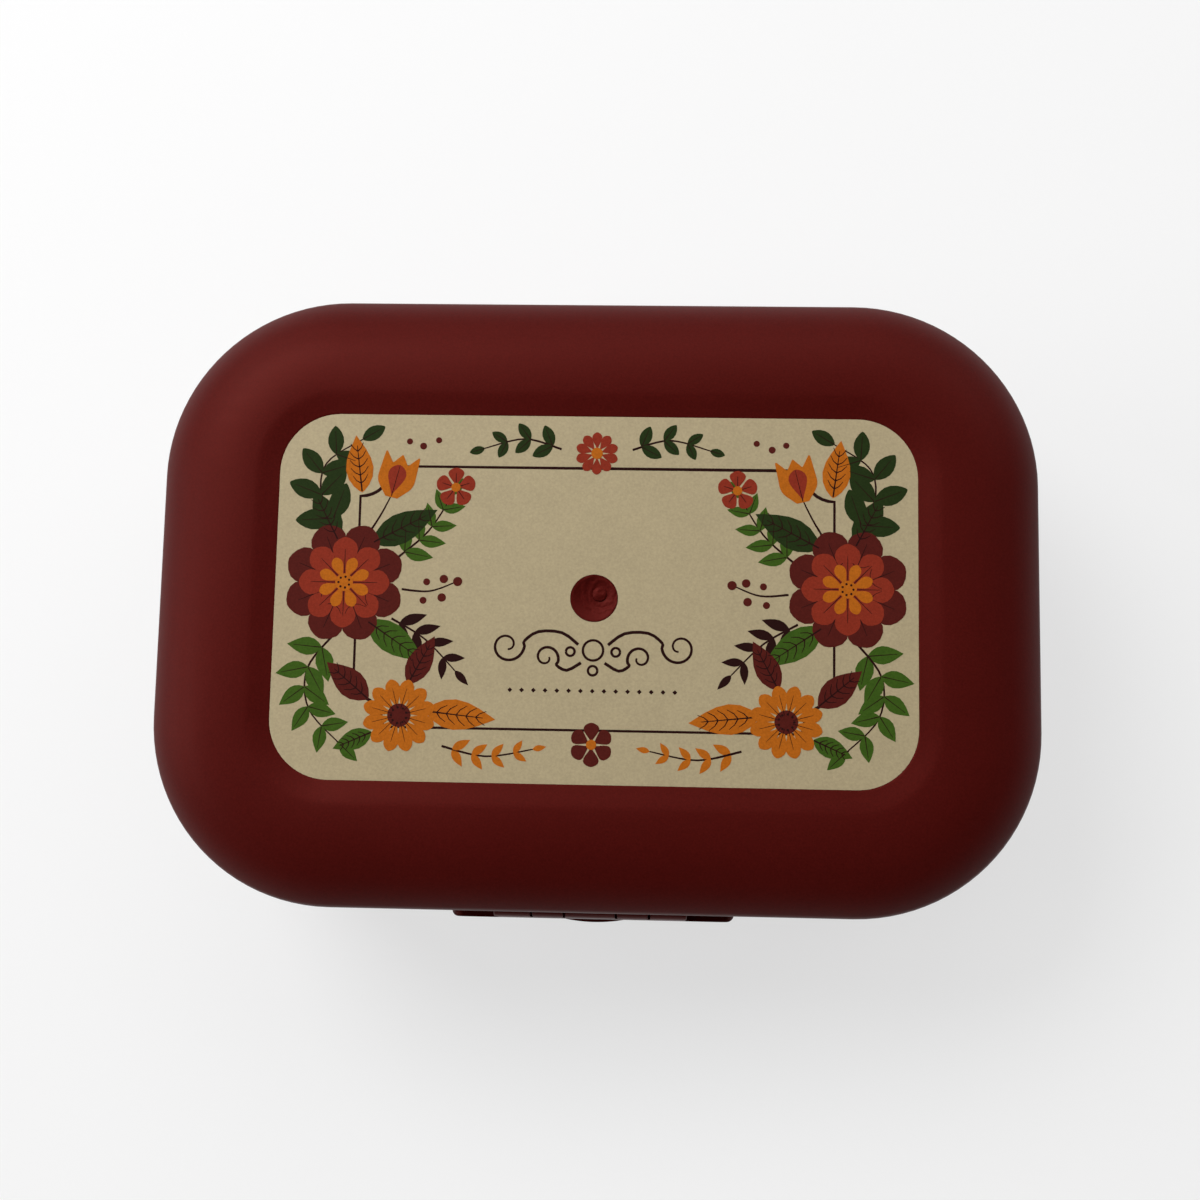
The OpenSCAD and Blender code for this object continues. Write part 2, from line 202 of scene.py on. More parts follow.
# One flat inked shape for each point of the input; turn and size are the points' attributes
def scatterTree():
    tree, given = geometryTree("scatteredShapes", ("Shape", "Object"), ("Low", "Float"), ("High", "Float"),
                               ("Lift", "Float"))
    info = addNode(tree, "GeometryNodeObjectInfo", None, [given["Shape"]], "Geometry")
    outline = addNode(tree, "GeometryNodeMeshToCurve", None, {"Mesh": info})
    turn = addNode(tree, "GeometryNodeInputNamedAttribute", {"data_type": "FLOAT"}, ["turn"])
    size = addNode(tree, "GeometryNodeInputNamedAttribute", {"data_type": "FLOAT_VECTOR"}, ["size"])
    copies = addNode(tree, "GeometryNodeInstanceOnPoints", None,
                     {"Points": given["Geometry"], "Instance": outline,
                      "Rotation": xyz(tree, 0.0, 0.0, turn), "Scale": size})
    loose = addNode(tree, "GeometryNodeRealizeInstances", None, [copies])
    index = addNode(tree, "GeometryNodeInputIndex")
    face = addNode(tree, "GeometryNodeFillCurve", {"mode": "NGONS"}, {"Curve": loose, "Group ID": index})
    drop = xyz(tree, 0.0, 0.0, given["Low"])
    placed = addNode(tree, "GeometryNodeSetPosition", None, {"Geometry": face, "Offset": drop})
    island = addNode(tree, "GeometryNodeInputMeshIsland")
    height = given["High"] - given["Low"] + (island % 8) * given["Lift"]  # so that crossing shapes differ
    return closeTree(tree, thickened(tree, placed, height), given)


# Pen lines along the input's edges, as wide as its attribute says
def strokeTree():
    tree, given = geometryTree("penStrokes", ("Height", "Float"), ("Flatness", "Float"))
    lines = addNode(tree, "GeometryNodeMeshToCurve", None, {"Mesh": given["Geometry"]})
    lift = xyz(tree, 0.0, 0.0, given["Height"])
    placed = addNode(tree, "GeometryNodeSetPosition", None, {"Geometry": lines, "Offset": lift})
    level = addNode(tree, "GeometryNodeSetCurveNormal", {"mode": "Z_UP"}, [placed])
    pen = addNode(tree, "GeometryNodeCurvePrimitiveQuadrilateral", {"mode": "RECTANGLE"},
                  {"Width": 1.0, "Height": given["Flatness"]})
    width = addNode(tree, "GeometryNodeInputNamedAttribute", {"data_type": "FLOAT"}, ["width"])
    drawn = addNode(tree, "GeometryNodeCurveToMesh", None,
                    {"Curve": level, "Profile Curve": pen, "Scale": width, "Fill Caps": True})
    return closeTree(tree, drawn, given)


trees = {"sweep": sweepTree(), "copies": copiesTree(), "plate": plateTree(), "scatter": scatterTree(),
         "strokes": strokeTree()}


# Mesh helpers

def addObject(name, mesh):
    piece = bpy.data.objects.new(name, mesh)
    bpy.context.scene.collection.objects.link(piece)
    return piece


def fromPoints(name, points, faces=(), edges=()):
    mesh = bpy.data.meshes.new(name)
    mesh.from_pydata([tuple(p) for p in points], list(edges), list(faces))
    return addObject(name, mesh)


# A closed line through flat points
def flatLoop(name, outline):
    n = len(outline)
    return fromPoints(name, [(x, y, 0) for x, y in outline], edges=[(i, (i + 1) % n) for i in range(n)])


def setAttribute(piece, name, kind, key, values):
    piece.data.attributes.new(name, kind, "POINT").data.foreach_set(key, values)


# Replaces a piece's mesh by what its modifiers make of it
def applyModifiers(piece):
    graph = bpy.context.evaluated_depsgraph_get()
    graph.update()
    made = bpy.data.meshes.new_from_object(piece.evaluated_get(graph))
    piece.modifiers.clear()
    old, piece.data = piece.data, made
    bpy.data.meshes.remove(old)
    return piece


def runTree(piece, tree, **values):
    modifier = piece.modifiers.new("shape", "NODES")
    modifier.node_group = trees[tree]
    for item in trees[tree].interface.items_tree:
        key = item.name[0].lower() + item.name[1:].replace(" ", "")
        if item.in_out == "INPUT" and key in values:
            modifier[item.identifier] = values[key]
    return applyModifiers(piece)


def tidyMesh(piece, fill=False, apart=0.0002):
    work = bmesh.new()
    work.from_mesh(piece.data)
    if apart:
        bmesh.ops.remove_doubles(work, verts=work.verts, dist=apart)
    if fill:
        bmesh.ops.holes_fill(work, edges=[e for e in work.edges if e.is_boundary])
    bmesh.ops.recalc_face_normals(work, faces=work.faces)
    work.to_mesh(piece.data)
    work.free()
    return piece


# A profile of (inward, height) swept once round the box; an open one is closed by flat plates
def sweepRound(name, profile, closed=False, radius=None, sides=None):
    points = [(u, 0, z) for u, z in profile + (profile[:1] if closed else [])]
    piece = fromPoints(name, points, edges=[(i, i + 1) for i in range(len(points) - 1)])
    sideX, sideY = sides or (box["sideX"], box["sideY"])
    runTree(piece, "sweep", sideX=sideX, sideY=sideY, cornerRadius=float(radius or box["cornerRadius"]),
            cornerSteps=box["cornerSteps"])
    return tidyMesh(piece, fill=not closed)


def gridOfCopies(piece, countX, countY, stepX, stepY):
    return runTree(piece, "copies", countX=countX, countY=countY, stepX=float(stepX), stepY=float(stepY))


# The piece twice, at a place on the right and on the left
def twins(piece, place):
    return gridOfCopies(piece, 2, 1, 2 * place, 0)


# Turns (radius, height) points about Z, or about X where along is "X"
def lathe(name, profile, steps, along="Z", centre=(0, 0, 0), fill=True):
    points, faces = [], []
    for r, h in profile:
        for i in range(steps):
            a = 2 * pi * i / steps
            points.append((r * cos(a), r * sin(a), h))
    for j in range(len(profile) - 1):
        for i in range(steps):
            k = (i + 1) % steps
            faces.append((j * steps + i, j * steps + k, (j + 1) * steps + k, (j + 1) * steps + i))
    piece = fromPoints(name, points, faces)
    if along == "X":
        piece.data.transform(Matrix.Rotation(pi / 2, 4, "Y"))
    piece.data.transform(Matrix.Translation(centre))
    return tidyMesh(piece, fill)


# An upright round stud; its top edge is a list of (inwards, down)
def stud(name, radius, top, low, edge, steps, centre=(0, 0, 0)):
    profile = [(0, top)] + [(radius - x, top - y) for x, y in edge] + [(radius, low), (0, low)]
    return lathe(name, profile, steps, centre=centre)


# A round bar along X; edge is the rounding of its two ends
def rod(name, radius, length, centre, edge=0):
    half = length / 2
    side = [(radius - edge + edge * sin(a), half - edge + edge * cos(a))
            for a in (pi / 2 * i / 4 for i in range(5))] if edge else [(radius, half)]
    profile = [(0, half)] + side + [(r, -h) for r, h in reversed(side)] + [(0, -half)]
    return lathe(name, profile, 48, "X", centre)


# A block with rounded edges between two corners
def block(name, low, high, edge=0):
    piece = fromPoints(name, [(x, y, z) for x in (low[0], high[0]) for y in (low[1], high[1])
                              for z in (low[2], high[2])],
                       [(0, 1, 3, 2), (4, 6, 7, 5), (0, 4, 5, 1), (2, 3, 7, 6), (0, 2, 6, 4), (1, 5, 7, 3)])
    return bevelled(piece, edge)


# An outline of (a, b) points at two levels, joined; at(a, b, level) gives a point's place
def prism(name, outline, levels, at=lambda x, y, z: (x, y, z)):
    n = len(outline)
    faces = [tuple(range(n)), tuple(range(2 * n - 1, n - 1, -1))]
    faces += [(i, n + i, n + (i + 1) % n, (i + 1) % n) for i in range(n)]
    return tidyMesh(fromPoints(name, [at(a, b, level) for level in levels for a, b in outline], faces))


# A profile of (y, z) points drawn out along X
def drawnOut(name, profile, length, centre=(0, 0, 0), edge=0, segments=3, angle=30):
    piece = prism(name, profile, (-length / 2, length / 2), lambda y, z, x: (x, y, z))
    piece.data.transform(Matrix.Translation(centre))
    return bevelled(piece, edge, segments, angle)


def bevelled(piece, edge, segments=3, angle=30):
    if edge:
        modifier = piece.modifiers.new("soft", "BEVEL")
        modifier.width, modifier.segments = edge, segments
        modifier.limit_method, modifier.angle_limit = "ANGLE", radians(angle)
        applyModifiers(piece)
    return piece


# Adds or takes away tool, which is used up
def combine(piece, tool, how):
    modifier = piece.modifiers.new("combine", "BOOLEAN")
    modifier.operation, modifier.solver, modifier.object = how, "MANIFOLD", tool
    applyModifiers(piece)
    bpy.data.objects.remove(tool)
    return piece


def add(piece, *tools):
    for tool in tools:
        combine(piece, tool, "UNION")
    return piece


def take(piece, *tools):
    for tool in tools:
        combine(piece, tool, "DIFFERENCE")
    return piece


# Scales to metres, shades, paints and hands the piece to its body
def finish(piece, material, body, slot, *nodes):
    piece.data.transform(Matrix.Scale(mm, 4))
    piece.data.materials.clear()
    piece.data.materials.append(material)
    for face in piece.data.polygons:
        face.use_smooth, face.material_index = True, 0
    piece.data.set_sharp_from_angle(angle=radians(32))
    modifier = piece.modifiers.new("even", "WEIGHTED_NORMAL")
    modifier.keep_sharp, modifier.weight = True, 60
    applyModifiers(piece)
    piece.data.name = piece.name
    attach(piece, body)
    if nodes:
        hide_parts(*nodes)
    return piece


# The point at a distance and a turn in degrees from a centre
def polar(centre, radius, turn):
    a = radians(turn)
    return centre[0] + radius * cos(a), centre[1] + radius * sin(a)


def arc(centre, radius, start, end, steps=12):
    return [polar(centre, radius, start + (end - start) * i / steps) for i in range(steps + 1)]


# Rounds the corners of an outline; a corner is (x, y) or (x, y, radius)
def softened(corners, steps=4):
    made = []
    for i, corner in enumerate(corners):
        here = Vector(corner[:2])
        if len(corner) < 3 or not corner[2]:
            made.append(tuple(here))
            continue
        before = (Vector(corners[i - 1][:2]) - here).normalized()
        after = (Vector(corners[(i + 1) % len(corners)][:2]) - here).normalized()
        half = before.angle(after) / 2
        reach = corner[2] / tan(half)
        centre = here + (before + after).normalized() * (corner[2] / sin(half))
        start, end = here + before * reach - centre, here + after * reach - centre
        first, sweep = atan2(start.y, start.x), -start.angle_signed(end)
        for k in range(steps + 1):
            a = first + sweep * k / steps
            made.append((centre.x + corner[2] * cos(a), centre.y + corner[2] * sin(a)))
    return made


# An owner's node tree, emptied
def clearedTree(owner):
    owner.use_nodes = True
    owner.node_tree.nodes.clear()
    return owner.node_tree


# Camera, light and floor

camera = {"place": (8.6, -24.4, 239.6), "turn": (-6.97, 2.19, 1.01), "focal": 1562, "frame": 1200,
          "sensor": 36, "near": 0.01, "far": 10}


def setCamera(v):
    made = bpy.data.cameras.new("camera")
    made.sensor_width = v["sensor"]
    made.lens = v["focal"] * v["sensor"] / v["frame"]
    made.clip_start, made.clip_end = v["near"], v["far"]
    spin = Vector([radians(a) for a in v["turn"]])
    tilt = Matrix.Rotation(spin.length, 3, spin.normalized())
    flip = Matrix.Diagonal((1, -1, -1))
    eye = addObject("camera", made)
    look = (flip @ tilt @ flip).transposed().to_4x4()
    eye.matrix_world = Matrix.Translation(Vector(v["place"]) * mm) @ look
    bpy.context.scene.camera = eye


# Lamps: place and power of each, and what all are aimed at
lamps = {"aim": (0, 0, 40), "size": 420,
         "places": {"keyLamp": ((-341, 341, 575), 3.75), "backLamp": ((18, 509, 549), 1.1),
                    "sideLamp": ((-617, 0, 411), 1.6), "fillLamp": ((390, 390, 503), 0.75)}}
world = {"strength": 0.04}


def setLamps(v):
    for name, (place, power) in v["places"].items():
        light = bpy.data.lights.new(name, "AREA")
        light.shape, light.size, light.energy = "DISK", v["size"] * mm, power
        lamp = addObject(name, light)
        place, aim = Vector(place) * mm, Vector(v["aim"]) * mm
        look = (aim - place).to_track_quat("-Z", "Y").to_matrix().to_4x4()
        lamp.matrix_world = Matrix.Translation(place) @ look


# 1 for what the camera sees straight, in gloss or through glass
def seenStraight(tree):
    path = addNode(tree, "ShaderNodeLightPath")
    rays = [Wire(tree, path.socket.node.outputs[name])
            for name in ("Is Camera Ray", "Is Glossy Ray", "Is Transmission Ray")]
    return rays[0].math("MAXIMUM", rays[0].math("MAXIMUM", *rays[:2]), rays[2])


def setWorld(v):
    made = bpy.data.worlds.new("studio")
    tree = clearedTree(made)
    glow = addNode(tree, "ShaderNodeBackground", None, {"Color": (1, 1, 1, 1), "Strength": v["strength"]})
    addNode(tree, "ShaderNodeOutputWorld", None, [glow])
    bpy.context.scene.world = made


# A white bowl: flat floor, soft bend, low wall all round; the room above it is dim
floor = {"radius": 1700, "bend": 350, "wall": 950, "white": 0.86, "shadow": 0.35, "level": -0.1,
         "steps": 96}


def setFloor(v):
    flat = v["radius"] - v["bend"]
    bend = arc((flat, v["bend"]), v["bend"], 270, 360, 12)[1:]
    profile = [(0, 0), (flat, 0)] + bend + [(v["radius"], v["wall"])]
    made = lathe("floor", profile, v["steps"], centre=(0, 0, v["level"]), fill=False)
    made.data.flip_normals()
    made.data.transform(Matrix.Scale(mm, 4))
    made.data.shade_smooth()
    paint = bpy.data.materials.new("floorWhite")
    tree = clearedTree(paint)
    matt = addNode(tree, "ShaderNodeBsdfDiffuse", None, {"Color": (v["white"], v["white"], v["white"], 1)})
    white = addNode(tree, "ShaderNodeEmission", None, {"Color": (1, 1, 1, 1), "Strength": 1.0})
    mixed = addNode(tree, "ShaderNodeMixShader", None, [seenStraight(tree) * (1 - v["shadow"]), matt, white])
    addNode(tree, "ShaderNodeOutputMaterial", None, [mixed])
    made.data.materials.append(paint)


setCamera(camera)
setLamps(lamps)
setWorld(world)
setFloor(floor)
bpy.context.scene.view_settings.view_transform = "Standard"
print("stage: camera, light and floor")


# Materials

def newMaterial(name, **constants):
    made = bpy.data.materials.new(name)
    tree = clearedTree(made)
    shader = addNode(tree, "ShaderNodeBsdfPrincipled", None, constants)
    addNode(tree, "ShaderNodeOutputMaterial", None, [shader])
    place = addNode(tree, "ShaderNodeTexCoord", None, None, "Object")
    return made, tree, shader.socket.node, place


def noise(tree, place, scale, detail=2.0, roughness=0.5):
    return addNode(tree, "ShaderNodeTexNoise", None,
                   {"Vector": place, "Scale": float(scale), "Detail": float(detail), "Roughness": roughness})


def mixColour(tree, share, first, second):
    return addNode(tree, "ShaderNodeMix", {"data_type": "RGBA"},
                   {"Factor_Float": share, "A_Color": first, "B_Color": second}, "Result_Color")


def rgb(values, share=1.0):
    return tuple(v * share for v in values) + (1.0,)


def feed(tree, node, **values):
    for key, value in values.items():
        tree.links.new(value.socket, node.inputs[key.replace("_", " ")])


# Moulded plastic: cloudy colour, fine grain, and light rubbing
def plastic(name, v):
    made, tree, shader, place = newMaterial(name, **{
        "IOR": v.get("ior", 1.49), "Specular IOR Level": v.get("shine", 0.3),
        "Specular Tint": v.get("shineTint", (1.0, 1.0, 1.0, 1.0))})
    cloud = noise(tree, place, v["cloudScale"], 3)
    grain = noise(tree, place, v["grainScale"], 2, 0.6)
    coarse = noise(tree, place, v["grainScale"] * 0.31, 2, 0.5)
    along = addNode(tree, "ShaderNodeMapping", None,
                    {"Vector": place, "Scale": (1.0, 14.0, 14.0), "Rotation": (0, 0, 0.4)})
    rub = noise(tree, along, v["rubScale"], 4, 0.7)
    spread = v["cloud"] + v["fleck"]
    share = (cloud - 0.5) * (v["cloud"] / spread) + (grain - 0.5) * (v["fleck"] / spread) + 0.5
    colour = mixColour(tree, share, rgb(v["colour"], 1 - spread), rgb(v["colour"], 1 + spread))
    rough = (cloud - 0.5) * v["cloud"] * 0.6 + (rub - 0.5) * v["rub"] + (grain - 0.5) * 0.1 + v["rough"]
    height = grain * 0.6 + coarse * 0.4
    if "swirl" in v:  # flow marks in the moulding gate's dimple
        centre, reach, waves, depth = v["swirl"]
        away = addNode(tree, "ShaderNodeVectorMath", {"operation": "DISTANCE"}, [place, centre], "Value")
        height = height + (away * waves + noise(tree, place, 700, 2) * 9).sin() * depth * (away < reach)
    bump = addNode(tree, "ShaderNodeBump", None,
                   {"Strength": v["bump"], "Distance": v["grain"], "Height": height})
    feed(tree, shader, Base_Color=colour, Roughness=rough, Normal=bump)
    return made


# What the moulded finishes share, and each one's own values
moulded = {"cloud": 0.03, "fleck": 0.05, "grain": 0.00002, "bump": 0.4}
burgundy = {**moulded, "colour": (0.063, 0.0046, 0.0036), "shine": 0.2, "shineTint": (1.0, 0.2, 0.16, 1.0),
            "cloud": 0.08, "fleck": 0.35, "cloudScale": 60, "grainScale": 3600, "grain": 0.00003,
            "bump": 0.5, "rough": 0.45, "rub": 0.12, "rubScale": 90,
            "swirl": ((0.0009, 0.0008, 0.0412), 0.0029, 6500, 2.2)}  # centre, reach, waves, depth
ivory = {**moulded, "colour": (0.68, 0.61, 0.46), "cloudScale": 50, "grainScale": 3200, "rough": 0.42,
         "rub": 0.1, "rubScale": 80}
cream = {**moulded, "colour": (0.413, 0.337, 0.202), "shine": 0.2, "cloud": 0.05, "fleck": 0.2,
         "cloudScale": 260, "grainScale": 3400, "bump": 0.45, "rough": 0.5, "rub": 0.08, "rubScale": 120}
silicone = {**moulded, "colour": (0.74, 0.71, 0.66), "fleck": 0.03, "cloudScale": 90, "grainScale": 2600,
            "bump": 0.3, "rough": 0.55, "rub": 0.06, "rubScale": 60, "ior": 1.41}
steel = {"colour": (0.5, 0.51, 0.53), "rough": 0.27, "drawScale": 2400, "depth": 0.000006}


def drawnSteel(name, v):
    made, tree, shader, place = newMaterial(name, Metallic=1.0)
    drawn = addNode(tree, "ShaderNodeMapping", None, {"Vector": place, "Scale": (0.02, 1.0, 1.0)})
    lines = noise(tree, drawn, v["drawScale"], 3)
    spots = noise(tree, place, 900, 2)
    colour = mixColour(tree, spots, rgb(v["colour"], 0.9), rgb(v["colour"], 1.1))
    bump = addNode(tree, "ShaderNodeBump", None, {"Strength": 0.4, "Distance": v["depth"], "Height": lines})
    feed(tree, shader, Base_Color=colour, Roughness=(lines - 0.5) * 0.2 + v["rough"], Normal=bump)
    return made


paints = {"burgundy": plastic("burgundyPlastic", burgundy), "ivory": plastic("ivoryPlastic", ivory),
          "cream": plastic("creamFilm", cream), "silicone": plastic("milkySilicone", silicone),
          "steel": drawnSteel("drawnSteel", steel)}
print("stage: materials")


# The lid

lid = {"edge": 2, "shoulder": 8.8, "shoulderRadius": 11, "border": 16.25, "dish": 3, "dishDrop": 0.7,
       "film": 0.25, "shelfLow": 31, "shelf": 1.4, "shelfSoft": 0.3, "ribOut": 3.6, "ribIn": 4.4,
       "ribLow": 30, "ribSoft": 0.25, "rimSoft": 0.2, "seatEdge": 0.08,
       # distance inwards and slope in degrees
       "crest": [(5, 20.2), (7, 12), (9, 5.8), (11.4, 0), (12.9, -3.2), (13.7, -10), (14.8, -12),
                 (16.25, -10.5)]}
gate = {"hole": 6.1, "rim": 0.25, "edge": [(0.06, 0), (0, 0.06)], "root": 0.3, "room": 0.02, "depth": 0.6,
        "stub": 1.8, "stubHeight": 0.35, "stubRoot": 0.2, "stubPlace": (0.7, 0.6, 0),
        "stubEdge": [(0.12, 0), (0.03, 0.04), (0, 0.12)]}
hinge = {"axis": (40.5, 27), "eye": 1.9, "tubEye": 4, "lidEye": 7, "gap": 0.3, "pocket": 0.3, "slope": 50,
         "sink": 0.6, "out": 0.5, "pin": 1.6, "clear": 0.05, "place": 24.2, "soft": 0.25, "recess": 0.2,
         "pinSoft": 0.2}
clip = {"axis": (-39.5, 33.4957), "barrel": 1.4, "gap": 0.35, "pin": 1.3, "clear": 0.05, "top": 25,
        "width": 38, "plate": 1.2, "rimGap": 0.3, "wingTop": 27.5, "low": 18.0, "wingRound": 2,
        "endRound": 1, "hook": 18, "hookTop": 23.8, "hookReach": 0.7, "hookRoot": 2.2, "hookTip": 0.8,
        "hookSoft": 0.12, "hookSink": 0.2, "thumb": 13, "thumbOut": 1, "thumbHeight": 2, "thumbSoft": 0.35,
        "thumbSide": 0.9, "thumbSink": 0.6, "earPlace": 5.5, "ear": 4, "earSoft": 0.15, "web": 1.8,
        "padWall": 1, "slack": 0.3, "inset": 0.01, "soft": 0.18, "recess": 0.2, "pinSoft": 0.16,
        "padOut": 1.4, "padLow": 31.2, "padTop": 36.896}
clip["back"] = -box["depth"] / 2 - clip["rimGap"]
clip["face"] = clip["back"] - clip["plate"]
lid["labelZ"] = box["height"] - lid["dishDrop"]
lid["floorZ"] = lid["labelZ"] - lid["film"]
hinge["length"] = 2 * hinge["tubEye"] + hinge["lidEye"] + 2 * hinge["gap"]
hinge["tubEyePlace"] = (hinge["lidEye"] + hinge["tubEye"]) / 2 + hinge["gap"]


# Starts an outline at its point at the middle of the box, where the sweep is left open
def middleOpen(profile, height):
    i = profile.index((box["cornerRadius"], height))
    return profile[i:] + profile[:i]


# The lid's top from its slopes in degrees: it crests gently and dips to the label
def crestLine(v):
    line = []
    for (x, slope), (nextX, nextSlope) in zip(v["crest"], v["crest"][1:]):
        line += [(x + (nextX - x) * k / 5, slope + (nextSlope - slope) * k / 5) for k in range(5)]
    line.append(v["crest"][-1])
    heights = [0]
    for (x, slope), (nextX, nextSlope) in reversed(list(zip(line, line[1:]))):
        heights.insert(0, heights[0] - tan(radians((slope + nextSlope) / 2)) * (nextX - x))
    peak = max(heights)
    top = heights.index(peak)
    return [(x, box["height"] - (peak - h) if i < top else v["labelZ"] + h * v["dishDrop"] / peak)
            for i, ((x, _), h) in enumerate(zip(line, heights))]


def lidProfile(v):
    wall, top, low = box["wall"], box["height"], box["tubHeight"]
    lean = degrees(asin((v["shoulder"] - v["edge"]) / (v["shoulderRadius"] - v["edge"])))
    crown = (v["shoulder"], top - v["shoulderRadius"])
    brow = (v["edge"], crown[1] + (v["shoulderRadius"] - v["edge"]) * cos(radians(lean)))
    inner = v["shoulderRadius"] - wall
    innerLean = degrees(acos((wall - v["shoulder"]) / inner))
    dishEdge = v["border"] - v["dish"]
    crest = crestLine(v)
    meets = 90 + degrees(asin((v["shoulder"] - crest[0][0]) / v["shoulderRadius"]))
    shoulder = arc(brow, v["edge"], 180, 90 + lean, 8)
    shoulder += arc(crown, v["shoulderRadius"], 90 + lean, meets, 14)[1:]
    lower = (shoulder[-1][1] - crest[0][1]) / crest[0][0]
    outside = [(x, z - lower * x) for x, z in shoulder[:-1]] + crest[:-1]
    seat = softened([crest[-3], (v["border"], v["labelZ"], v["seatEdge"]),
                     (v["border"], v["floorZ"]), (box["cornerRadius"], v["floorZ"])], 2)[1:]
    inside = [(box["cornerRadius"], v["floorZ"] - wall), (v["border"], v["floorZ"] - wall),
              (dishEdge, top - wall)] + arc(crown, inner, 90, innerLean, 14)[1:]
    shelfTop = v["shelfLow"] + v["shelf"]
    shelf = softened([(wall, top), (wall, shelfTop, v["shelfSoft"]), (v["ribIn"], shelfTop, v["shelfSoft"]),
                      (v["ribIn"], v["ribLow"], v["ribSoft"]), (v["ribOut"], v["ribLow"], v["ribSoft"]),
                      (v["ribOut"], v["shelfLow"]), (wall, v["shelfLow"]), (wall, low, v["rimSoft"]),
                      (0, low, box["rimEdge"]), (0, brow[1])], 3)[1:-1]
    return middleOpen(outside + seat + inside + shelf, v["floorZ"] - wall)


# An eye round the hinge axis, on a foot that slopes up (1) or down (-1) to the wall
def hingeEye(name, length, up, root):
    v = hinge
    slope = radians(v["slope"])
    touch = (v["eye"] * cos(slope), up * v["eye"] * sin(slope))
    drop = up * (root + touch[0]) / tan(slope)
    ring = arc((0, 0), v["eye"], degrees(slope) * up, -180 * up, 28)
    profile = [(-root, touch[1] + drop)] + ring + [(-root, 0)]
    return drawnOut(name, profile, length, (0, *v["axis"]), v["soft"], 3, 40)


# At both hinges; with a step, twice at each
def atHinges(piece, step=0):
    return twins(twins(piece, step) if step else piece, hinge["place"])


def hingeRod(name, radius, length, step=0):
    return atHinges(rod(name, radius, length, (0, *hinge["axis"])), step)


def clipRod(name, radius, length, edge=0):
    return rod(name, radius, length, (0, *clip["axis"]), edge)


# The lid's two ears, which hold the clip's pin
def clipEars(v):
    deep = v["barrel"] + v["gap"] + v["padWall"] / 2
    half = v["web"] / 2
    start = degrees(asin(half / v["barrel"]))
    profile = [(deep, -half), (deep, half)] + arc((0, 0), v["barrel"], start, 360 - start, 32)
    ear = drawnOut("ear", profile, v["ear"], (0, *v["axis"]), v["earSoft"], 2, 50)
    return twins(ear, v["earPlace"])


# What hollows the dimple out of the boss in the middle of the label
def gateLens():
    rim = gate["hole"] / 2 - gate["rim"]
    radius = (rim ** 2 + gate["depth"] ** 2) / (2 * gate["depth"])
    centre = lid["labelZ"] - gate["depth"] + radius
    half = degrees(asin(rim / radius))
    curve = arc((0, centre), radius, 270, 270 + half + 6, 16)
    return lathe("lens", curve + [(curve[-1][0], centre), (0, centre)], 64)


def buildLid():
    shell = sweepRound("lidShell", lidProfile(lid))
    boss = stud("boss", gate["hole"] / 2, lid["labelZ"], lid["floorZ"] - gate["root"], gate["edge"], 64)
    padHalf = clip["top"] / 2 + clip["gap"] + clip["padWall"]
    padBack = clip["axis"][0] + clip["barrel"] + clip["gap"] + clip["padWall"]
    pad = block("pad", (-padHalf, clip["padOut"] - box["depth"] / 2, clip["padLow"]),
                (padHalf, padBack, clip["padTop"]))
    add(shell, boss, pad)
    take(shell, gateLens(), clipRod("pocket", clip["barrel"] + clip["gap"], clip["top"] + 2 * clip["gap"]),
         hingeRod("eyePocket", hinge["eye"] + hinge["pocket"], hinge["tubEye"] + 2 * hinge["gap"],
                  hinge["tubEyePlace"]))
    low = lid["labelZ"] - gate["depth"]
    stub = stud("stub", gate["stub"] / 2, low + gate["stubHeight"], low - gate["stubRoot"], gate["stubEdge"],
                32, gate["stubPlace"])
    eye = hingeEye("eye", hinge["lidEye"], 1, hinge["out"] + hinge["sink"])
    add(shell, stub, clipEars(clip), atHinges(eye))
    bore = rod("earBore", clip["pin"] / 2 + snug, clip["ear"] + past, (0, *clip["axis"]))
    take(shell, twins(bore, clip["earPlace"]),
         hingeRod("bore", hinge["pin"] / 2 + hinge["clear"], hinge["lidEye"] + past))
    return finish(shell, paints["burgundy"], "lid", "box_plastic", "lid_shell")


buildLid()
print("stage: lid")


# The tub

tub = {"flange": 3, "lipOut": 1.9, "lipIn": 3.1, "lipTop": 29.5, "draft": 4, "bottom": 6, "post": 6,
       "postPlace": (38.68, 21.18), "postTop": 8.0, "postEdge": [(0.3, 0), (0.09, 0.09), (0, 0.3)],
       "lipSoft": 0.15, "lipEdge": 0.3}


def tubProfile(v):
    wall, top = box["wall"], box["tubHeight"]
    bodyTop, bodyIn = top - v["flange"], v["lipIn"] - wall
    draft = radians(v["draft"])
    run = (bodyTop - v["bottom"] * (1 - sin(draft))) / cos(draft)
    heel = (bodyIn + run * sin(draft) + v["bottom"] * cos(draft), v["bottom"])
    rim = softened([(v["lipOut"], top), (0, top, box["rimEdge"]), (0, bodyTop, box["rimEdge"]),
                    (bodyIn, bodyTop, 0.0), heel], 3)[:-1]
    under = arc(heel, v["bottom"], 180 + v["draft"], 270, 12) + [(box["cornerRadius"], 0)]
    inside = [(box["cornerRadius"], wall)] + arc(heel, v["bottom"] - wall, 270, 180 + v["draft"], 10)
    lip = softened([(v["lipIn"], bodyTop - 2), (v["lipIn"], v["lipTop"], v["lipSoft"]),
                    (v["lipOut"], v["lipTop"], v["lipEdge"]), (v["lipOut"], top)], 3)[1:-1]
    return middleOpen(rim + under + inside + [(v["lipIn"], bodyTop)] + lip, wall)


